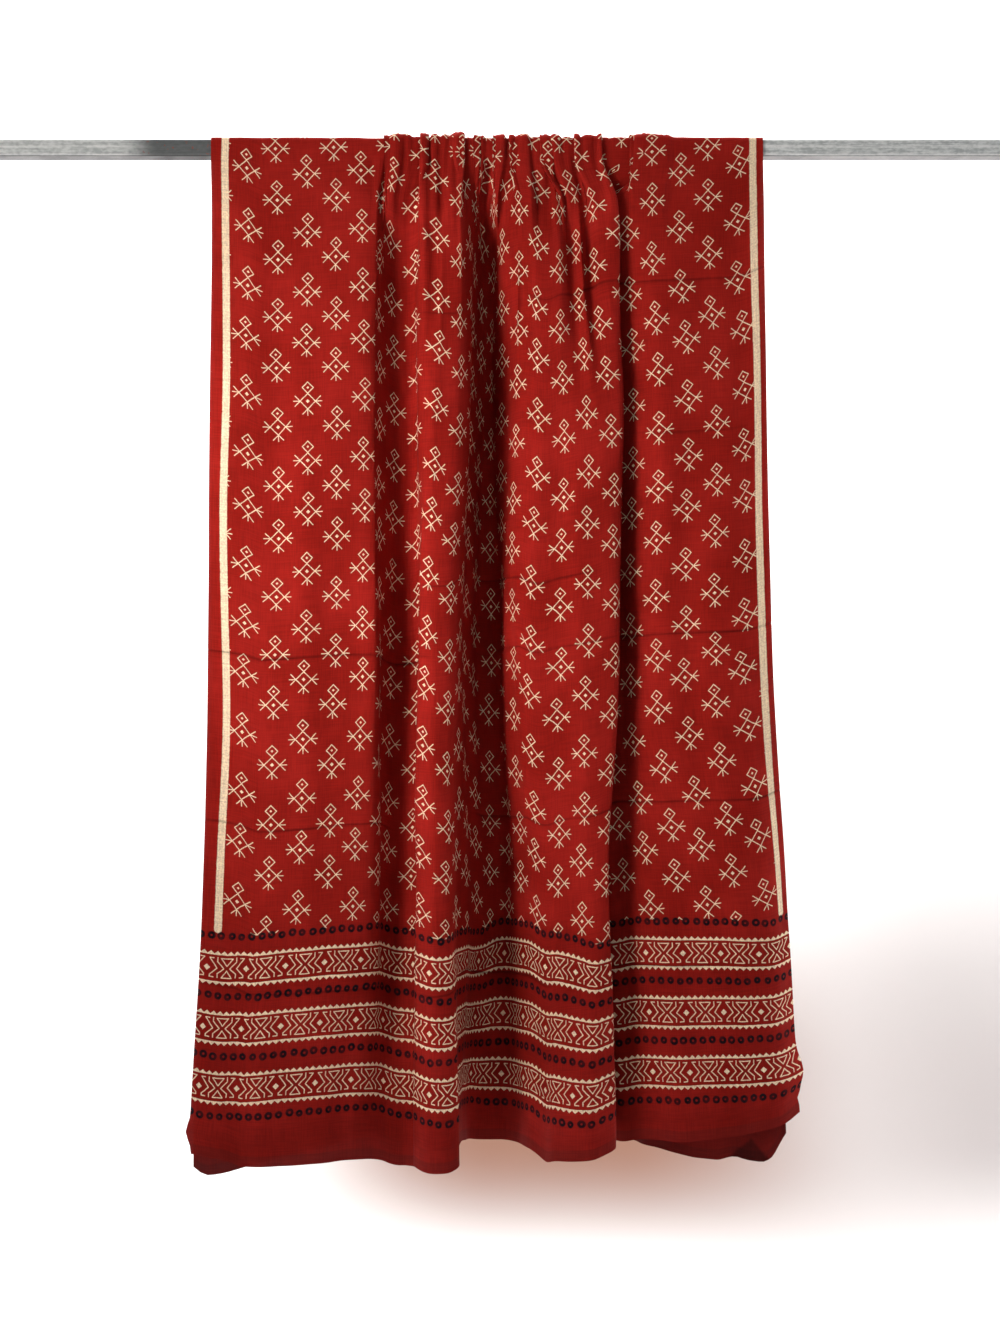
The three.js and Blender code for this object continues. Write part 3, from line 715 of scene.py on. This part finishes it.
def fieldMotifs(add, across, along, aside, lower):
    # the columns of one height in each block: the even ones, or the lower ones between them
    wide, tall = stamping["block"]
    middle = stamping["start"][0] + stamping["column"] / 2 + aside  # of the first block's columns
    late = add("Math GREATER_THAN", across, stamping["gapAt"])
    x = add("Math SUBTRACT", across, middle)
    x = add("Math MULTIPLY_ADD", late, -stamping["gap"], x)
    block, x = repeatAt(add, x, wide)
    # how this column of blocks was set down
    width = 1 / len(blockColumns)
    setting = add("Math MULTIPLY_ADD", block, width, width / 2)
    setting = tableRamp(add, setting, [
        (count * width, (-up / mostUp, rise + 0.5, turn + 0.5))
        for count, (up, rise, turn) in enumerate(blockColumns)], "CONSTANT")
    setting = add("SeparateColor", setting)
    rise = add("Math SUBTRACT", setting.node.outputs[1], 0.5)
    up = add("Math MULTIPLY_ADD", setting, mostUp, along)
    up = add("Math SUBTRACT", up, stamping["start"][1] + lower - stamping["below"])
    tilt = add("Math MULTIPLY", rise, x)
    up = add("Math SUBTRACT", up, tilt)
    blockPrint, up = repeatAt(add, up, tall, "FLOOR")
    # each print of the block sits a little to one side and leans a little
    jog = add("SeparateXYZ", chanceFor(add, block, blockPrint))
    sway = add("Math MULTIPLY_ADD", blockPrint, stamping["swayStep"], stamping["swayStart"])
    sway = add("Math SINE", sway)
    x = add("Math MULTIPLY_ADD", sway, -stamping["sway"], x)
    lean = add("Math MULTIPLY_ADD", jog.node.outputs[1], stamping["lean"] * 2, -stamping["lean"])
    leaning = add("Math SUBTRACT", up, tall / 2)
    x = add("Math MULTIPLY_ADD", leaning, lean, x)
    x = add("Math MULTIPLY_ADD", jog, -stamping["blockStray"] * 2, x)
    x = add("Math ADD", x, stamping["blockStray"])
    # its two columns and three rows
    side = add("Math SIGN", x)
    x = add("Math MULTIPLY_ADD", side, -stamping["column"] / 2, x)
    row, y = repeatAt(add, up, stamping["row"], "FLOOR", stamping["rows"])
    y = add("Math SUBTRACT", y, stamping["below"])
    # and each motif differs a little
    mark = add("Math MULTIPLY_ADD", row, 3, side)
    chance = chanceFor(add, block, blockPrint, mark)
    point = add("CombineXYZ", x, y)
    point = add("VectorMath ADD", point, strayBy(add, chance, stamping["stray"]))
    turn = add("SeparateXYZ", chance, output=2)
    turn = add("Math MULTIPLY_ADD", turn, stamping["turn"] * 2, 0.5 - stamping["turn"])
    turn = add("Math SUBTRACT", turn, setting.node.outputs[2])
    point = add("VectorRotate Z_AXIS", sockets={"Vector": point, "Angle": turn})
    point = foldedIn(add, point)
    motif = nearestLine(add, point, motifLines)
    motif = add("Math SUBTRACT", motif, stamping["line"])
    for spot, half in stamping["diamonds"]:
        diamond = diamondDistance(add, point, spot, half)
        motif = add("Math MINIMUM", motif, diamond)
    return motif


def borderBands(add, across, fromEnd):
    # the three bands of hourglasses and chevrons between rows of teeth
    up = add("Math SUBTRACT", fromEnd, printing["bandMiddle"])
    _, y = repeatAt(add, up, printing["bandPitch"], "ROUND", printing["bands"])
    x = add("Math SUBTRACT", across, printing["firstUnit"])
    _, inUnit = repeatAt(add, x, printing["unit"])
    point = add("CombineXYZ", inUnit, y)
    point = foldedIn(add, point)
    figure = nearestLine(add, point, borderLines)
    figure = add("Math SUBTRACT", figure, printing["bandLine"])
    diamond = diamondDistance(add, point, (printing["unit"] / 2, 0), printing["bandDiamond"])
    figure = add("Math MINIMUM", figure, diamond)
    # teeth stand on a line above and below, points outwards
    outwards = add("Math ABSOLUTE", y)
    tooth = add("Math PINGPONG", x, printing["tooth"] / 2)
    reach = add("Math MULTIPLY_ADD", tooth, printing["toothSlope"], printing["toothStart"])
    past = add("Math SUBTRACT", outwards, reach)
    short = add("Math SUBTRACT", printing["toothFoot"], outwards)
    teeth = add("Math MAXIMUM", past, short)
    return add("Math MINIMUM", figure, teeth)


def ringRows(add, across, fromEnd):
    # four rows of small dark rings, each ring stamped a little differently
    up = add("Math SUBTRACT", fromEnd, printing["ringRow"])
    row, y = repeatAt(add, up, printing["ringPitch"], "ROUND", printing["ringRows"])
    ring, x = repeatAt(add, across, printing["ring"])
    chance = chanceFor(add, ring, row)
    point = add("CombineXYZ", x, y)
    point = add("VectorMath ADD", point, strayBy(add, chance, printing["ringStray"]))
    radius = add("VectorMath LENGTH", point, output=1)
    size = add("SeparateXYZ", chance, output=2)
    size = add("Math MULTIPLY_ADD", size, printing["ringSpread"], printing["ringSize"])
    off = add("Math SUBTRACT", radius, size)
    return add("Math ABSOLUTE", off)


def acrossCurve(add, place, rows):
    # a smooth curve through rows of across and mm, read at a share of the cloth's width; the node's
    # values from 0 to 1 stand for 100 mm to either side
    curve = add("FloatCurve", sockets={"Value": place})
    mapping = curve.node.mapping
    points = mapping.curves[0].points
    for count, (spot, size) in enumerate(rows):
        at = (spot / cloth["width"], 0.5 + size / 200)
        point = {0: points[0], len(rows) - 1: points[-1]}.get(count) or points.new(*at)
        point.location = at
    mapping.update()
    return add("Math MULTIPLY_ADD", curve, 200, -100)


cotton = {
    "red": "#A01E17", "redDeep": "#90170F", "cream": "#FBE3C0", "ring": "#170A12", "hem": "#6C1713",
    "cover": 0.997,         # the share of the light that the threads stop
    "through": 0.03,        # the share that they pass on, scattered
    # hand printing strays slowly over a hand's breadth and shakes a little at each line
    "strayRun": 240, "stray": (2, 2.5, 0), "endStray": 0.35,
    "shakeRun": 5.5, "shake": (0.4, 0.4, 0),
    "thread": 1.3,          # drawn coarser than the real 0.35 mm threads, so that it shows
    "warpRun": 26, "weftRun": 34,
    # how uneven the cream, the rings and the red are: size and detail of the spots, and from here on
    # each shade as from and to of a value and what these become
    "uneven": [(2.2, 2.0, 0.3, 0.62, 0.72, 1.0), (9, 1.0, 0.3, 0.6, 0.84, 1.0), (90, 3.0, 0.35, 0.68)],
    "threads": (0.7, 1.3, 0.86, 1.14),
    # the next line holds painted shade: the border and its plain end darker towards the cut ends, and the
    # back's end darker in the front's shade
    "border": (255, 300, 0.86, 1.0), "end": (30, 62, 0.86, 1.0), "frontShadeOnBack": (42, 66, 0.58, 1.0),
    # painted shade along the bottom of each storage crease
    "creased": (0.0, 1.9, 1.0, 0.3),
    "hemWidth": 13, "hemSoft": 0.8, "hemShare": 0.6,
    # painted shade of the back's crumpled corner
    "corner": (1038, -6), "cornerHalf": 34, "cornerSoft": 4, "cornerShade": 0.55,
    "roughness": 0.9, "specular": 0.1, "bump": 0.35, "bumpDepth": 0.4 * mm,
}


def flatPlaces(add):
    # places in mm on the flat cloth: true, strayed and shaken, and only shaken, and the straying
    uv = add("UVMap", uv_map="UVMap")
    flat = add("VectorMath MULTIPLY", uv, (cloth["width"], cloth["length"], 0))
    stray = add("TexNoise 2D", output=1, sockets={
        "Vector": flat, "Scale": 1 / cotton["strayRun"], "Detail": 0.0})
    stray = strayBy(add, stray, cotton["stray"])
    shake = add("TexNoise 2D", output=1, sockets={
        "Vector": flat, "Scale": 1 / cotton["shakeRun"], "Detail": 2.0})
    shake = strayBy(add, shake, cotton["shake"])
    shaken = add("VectorMath ADD", flat, shake)
    strayed = add("VectorMath ADD", flat, stray)
    strayed = add("VectorMath ADD", strayed, shake)
    return flat, add("SeparateXYZ", strayed), add("SeparateXYZ", shaken), add("SeparateXYZ", stray)


def distanceFromEnd(add, across, along, drift):
    # from the nearer cut end, as the border sees it, and from the back's
    place = add("Math DIVIDE", across, cloth["width"])
    firstRow = acrossCurve(add, place, [(spot, rings) for spot, rings, _ in borderSkew])
    further = acrossCurve(add, place, [(spot, more) for spot, _, more in borderSkew])
    fromFront = add("Math SUBTRACT", along, firstRow)
    share = add("MapRange", fromFront, 0.0, printing["ringPitch"] * (printing["ringRows"] - 1))
    more = add("Math MULTIPLY", further, share)
    fromFront = add("Math SUBTRACT", fromFront, more)
    fromFront = add("Math ADD", fromFront, printing["ringRow"])
    fromBack = add("Math SUBTRACT", cloth["length"], along)
    fromEnd = add("Math MINIMUM", fromFront, fromBack)
    return add("Math MULTIPLY_ADD", drift, cotton["endStray"], fromEnd), fromBack


def printedInk(add, strayed, shaken, fromEnd):
    # the cream figures and the dark rings
    along = strayed.node.outputs[1]
    inField = add("MapRange", fromEnd, printing["borderEnd"], printing["borderEnd"] + 1)
    # a plain stripe near each selvedge, round at its end; it wanders, and the motifs run up to it
    fromRight = add("Math SUBTRACT", cloth["width"], shaken)
    sway = add("TexNoise 1D", sockets={"W": along, "Scale": 1 / printing["stripRun"], "Detail": 0.0})
    asides = []
    for inwards, (middle, wander) in [(shaken, printing["stripLeft"]), (fromRight, printing["stripRight"])]:
        strip = add("Math MULTIPLY_ADD", sway, wander, middle - wander / 2)
        asides.append(add("Math SUBTRACT", inwards, strip))
    aside = add("Math MINIMUM", *asides)
    inside = add("MapRange", aside, 0.0, 1.0)
    shortBy = add("Math SUBTRACT", printing["borderEnd"] + printing["stripPast"], fromEnd)
    shortBy = add("Math MAXIMUM", shortBy, 0)
    strip = add("CombineXYZ", aside, shortBy)
    strip = add("VectorMath LENGTH", strip, output=1)
    strip = inkFrom(add, strip, printing["stripWidth"] / 2, printing["stripSoft"])
    even = fieldMotifs(add, strayed, along, 0, 0)
    odd = fieldMotifs(add, strayed, along, *stamping["lower"])
    motifs = add("Math MINIMUM", even, odd)
    motifs = inkFrom(add, motifs, 0, stamping["soft"])
    motifs = add("Math MULTIPLY", motifs, inField)
    motifs = add("Math MULTIPLY", motifs, inside)
    bands = inkFrom(add, borderBands(add, shaken, fromEnd), 0, printing["bandSoft"])
    cream = add("Math MAXIMUM", motifs, strip)
    cream = add("Math MAXIMUM", cream, bands)
    rings = ringRows(add, shaken, fromEnd)
    return cream, inkFrom(add, rings, printing["ringLine"], printing["ringSoft"])


def makeCotton():
    # thin plain-woven cotton, dyed madder red round a resist print: matt, soft, slightly sheer
    material, add = newMaterial("block-printed cotton")
    flat, strayed, shaken, stray = flatPlaces(add)
    along = shaken.node.outputs[1]
    fromEnd, fromBack = distanceFromEnd(add, shaken, along, stray.node.outputs[1])
    cream, rings = printedInk(add, strayed, shaken, fromEnd)
    # the resist let a little dye through, more in some places, and the rings and the red are uneven
    patches = []
    for size, detail, *reach in cotton["uneven"]:
        spots = add("TexNoise 2D", sockets={"Vector": flat, "Scale": 1 / size, "Detail": detail})
        patches.append(add("MapRange", spots, *reach))
    cream = add("Math MULTIPLY", cream, patches[0])
    rings = add("Math MULTIPLY", rings, patches[1])
    # threads: long thin streaks each way
    weave = 0.0
    for size in [(cotton["thread"], cotton["warpRun"]), (cotton["weftRun"], cotton["thread"])]:
        threads = add("VectorMath MULTIPLY", flat, (1 / size[0], 1 / size[1], 0))
        threads = add("TexNoise 2D", sockets={"Vector": threads, "Scale": 1.0, "Detail": 1.0})
        weave = add("Math ADD", weave, threads)
    threads = add("MapRange", weave, *cotton["threads"])
    colour = add("Mix RGBA", patches[2], output=2, sockets={
        6: linearColour(cotton["redDeep"]), 7: linearColour(cotton["red"])})
    # painted shade: the border is darker, and its plain end darker again, towards the cut ends, which hang
    # lowest where the light falls off
    border = add("MapRange SMOOTHSTEP", fromEnd, *cotton["border"])
    end = add("MapRange SMOOTHSTEP", fromEnd, *cotton["end"])
    border = add("Math MULTIPLY", border, end)
    colour = add("VectorMath SCALE", colour, sockets={3: border})
    # the hem is turned under twice, so it is darker
    hem = add("Math MINIMUM", fromBack, along)
    hem = inkFrom(add, hem, cotton["hemWidth"], cotton["hemSoft"])
    hem = add("Math MULTIPLY", hem, cotton["hemShare"])
    for share, name in [(hem, "hem"), (cream, "cream"), (rings, "ring")]:
        colour = add("Mix RGBA", share, output=2, sockets={6: colour, 7: linearColour(cotton[name])})
    # painted shade: the back's end is darker where the front shades it, most of all at its crumpled
    # corner, so the front's hem stands out from it
    under = add("MapRange SMOOTHSTEP", fromBack, *cotton["frontShadeOnBack"])
    corner = add("CombineXYZ", shaken, fromBack)
    corner = diamondDistance(add, corner, cotton["corner"], cotton["cornerHalf"])
    corner = inkFrom(add, corner, 0, cotton["cornerSoft"])
    corner = add("Math MULTIPLY_ADD", corner, -cotton["cornerShade"], 1.0)
    # and shade is painted dark along the bottom of a storage crease
    creased = add("Attribute", attribute_name="creased", output=2)
    creased = add("MapRange", creased, *cotton["creased"])
    for shade in [threads, under, corner, creased]:
        colour = add("VectorMath SCALE", colour, sockets={3: shade})
    bump = add("Bump", sockets={
        "Strength": cotton["bump"], "Distance": cotton["bumpDepth"], "Height": weave})
    front = add("BsdfPrincipled", sockets={
        "Base Color": colour, "Roughness": cotton["roughness"], "Specular IOR Level": cotton["specular"],
        "Alpha": cotton["cover"], "Normal": bump})
    through = add("BsdfTranslucent", sockets={"Color": colour, "Normal": bump})
    surface = add("MixShader", cotton["through"], front, through)
    add("OutputMaterial", sockets={"Surface": surface})
    print("cotton made,", len(material.node_tree.nodes), "nodes")
    return material


steel = {
    "base": "#E8ECEB", "dark": "#B2B8B8", "paintedHighlight": "#FFFFFF", "shadeBeside": "#3C4042", "rust": "#8A4636",
    # painted highlights on its face from the top edge down: height in mm from the rail's middle, how strong
    # the painted highlight is
    "face": [(10, 0), (9.3, 0), (8.9, 0.9), (7.6, 0.9), (7.1, 0.12), (3.2, 0.25), (2.4, 0.8),
             (0.2, 0.75), (-0.8, 0.15), (-7.2, 0.2), (-7.7, 0.95), (-8.9, 0.95), (-9.3, 0), (-10, 0)],
    "edges": 9.2,           # past this height the corners turn away and look dark
    "edgeSoft": 0.2, "edgeShade": 0.7,
    # sizes of its streaks along and across, mottle and patches, and how far patches shift the face
    "streak": (42, 1.6), "mottle": (6, 3), "patch": 30, "shift": 0.8,
    # each as from and to of a value, then what these become
    "tone": (0.82, 1.2), "grey": (300, 1000, 0.72, 1.0), "beside": (235, 285, 0.0, 0.88),
    "besideEnd": 680, "speck": 4.5, "specks": (0.66, 0.72, 0.0, 0.9),
    "roughness": (0.35, 0.65, 0.36, 0.55), "metallic": 0.12, "bump": 0.25, "bumpDepth": 0.3 * mm,
}


def finishRail():
    # square steel tube, drawn and then zinc-coated: satin, with streaks along it and rougher patches, and
    # with painted highlights and shade in its colour
    material, add = newMaterial("zinc-coated steel tube")
    spot = add("TexCoord", output=3)
    spot = add("VectorMath SCALE", spot, sockets={3: 1 / mm})
    along = add("SeparateXYZ", spot)
    grains = []
    for (length, width), detail in [(steel["streak"], 4.0), (steel["mottle"], 5.0)]:
        grain = add("VectorMath MULTIPLY", spot, (1 / length, 1 / width, 1 / width))
        grains.append(add("TexNoise", sockets={"Vector": grain, "Scale": 1.0, "Detail": detail}))
    patches = add("TexNoise", sockets={"Vector": spot, "Scale": 1 / steel["patch"], "Detail": 3.0})
    height = along.node.outputs[2]
    # painted highlights: white bands along the top and bottom corners and a white streak at mid-height,
    # shifted a little by the patches
    level = add("Math MULTIPLY_ADD", patches, steel["shift"], height)
    level = add("Math SUBTRACT", level, steel["shift"] / 2)
    down = add("MapRange", level, railHalf, -railHalf)
    face = tableRamp(add, down, [
        ((railHalf - level) / (2 * railHalf), (paintedHighlight, paintedHighlight, paintedHighlight))
        for level, paintedHighlight in steel["face"]], "LINEAR")
    tone = add("Math ADD", *grains)
    tone = add("MapRange", tone, *steel["tone"])
    colour = add("Mix RGBA", tone, output=2, sockets={
        6: linearColour(steel["dark"]), 7: linearColour(steel["base"])})
    # the painted highlights are broken up along the streaks and mixed in as white
    highlightStreaks = add("Math MULTIPLY_ADD", tone, 0.5, 0.5)
    face = add("Math MULTIPLY", face, highlightStreaks)
    colour = add("Mix RGBA", face, output=2, sockets={6: colour, 7: linearColour(steel["paintedHighlight"])})
    # the tube is darker towards the left end, and beside the cloth's left edge a dark grey painted shade
    # of the cloth lies on it, with specks of rust colour there
    grey = add("MapRange SMOOTHSTEP", along, *steel["grey"])
    colour = add("VectorMath SCALE", colour, sockets={3: grey})
    beside = add("MapRange SMOOTHSTEP", along, *steel["beside"])
    far = add("Math LESS_THAN", along, steel["besideEnd"])
    beside = add("Math MULTIPLY", beside, far)
    specks = add("TexNoise", sockets={"Vector": spot, "Scale": 1 / steel["speck"], "Detail": 1.0})
    specks = add("MapRange", specks, *steel["specks"])
    specks = add("Math MULTIPLY", specks, beside)
    for share, name in [(beside, "shadeBeside"), (specks, "rust")]:
        colour = add("Mix RGBA", share, output=2, sockets={6: colour, 7: linearColour(steel[name])})
    # the rounded corners turn away from the light
    turned = add("Math ABSOLUTE", height)
    turned = inkFrom(add, turned, steel["edges"], steel["edgeSoft"])
    turned = add("Math MULTIPLY_ADD", turned, steel["edgeShade"], 1 - steel["edgeShade"])
    colour = add("VectorMath SCALE", colour, sockets={3: turned})
    roughness = add("MapRange", patches, *steel["roughness"])
    bump = add("Bump", sockets={
        "Strength": steel["bump"], "Distance": steel["bumpDepth"], "Height": grains[0]})
    shade = add("BsdfPrincipled", sockets={
        "Base Color": colour, "Metallic": steel["metallic"], "Roughness": roughness, "Normal": bump})
    add("OutputMaterial", sockets={"Surface": shade})
    tube = bpy.data.objects["rail"]
    tube.data.materials.clear()
    tube.data.materials.append(material)
    print("rail finished")


placeCamera()
placeBackdrop()
placeLights()
printedCloth = makeCloth()
printedCloth.data.materials.append(makeCotton())
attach(printedCloth, "root")
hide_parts("dupatta")
finishRail()
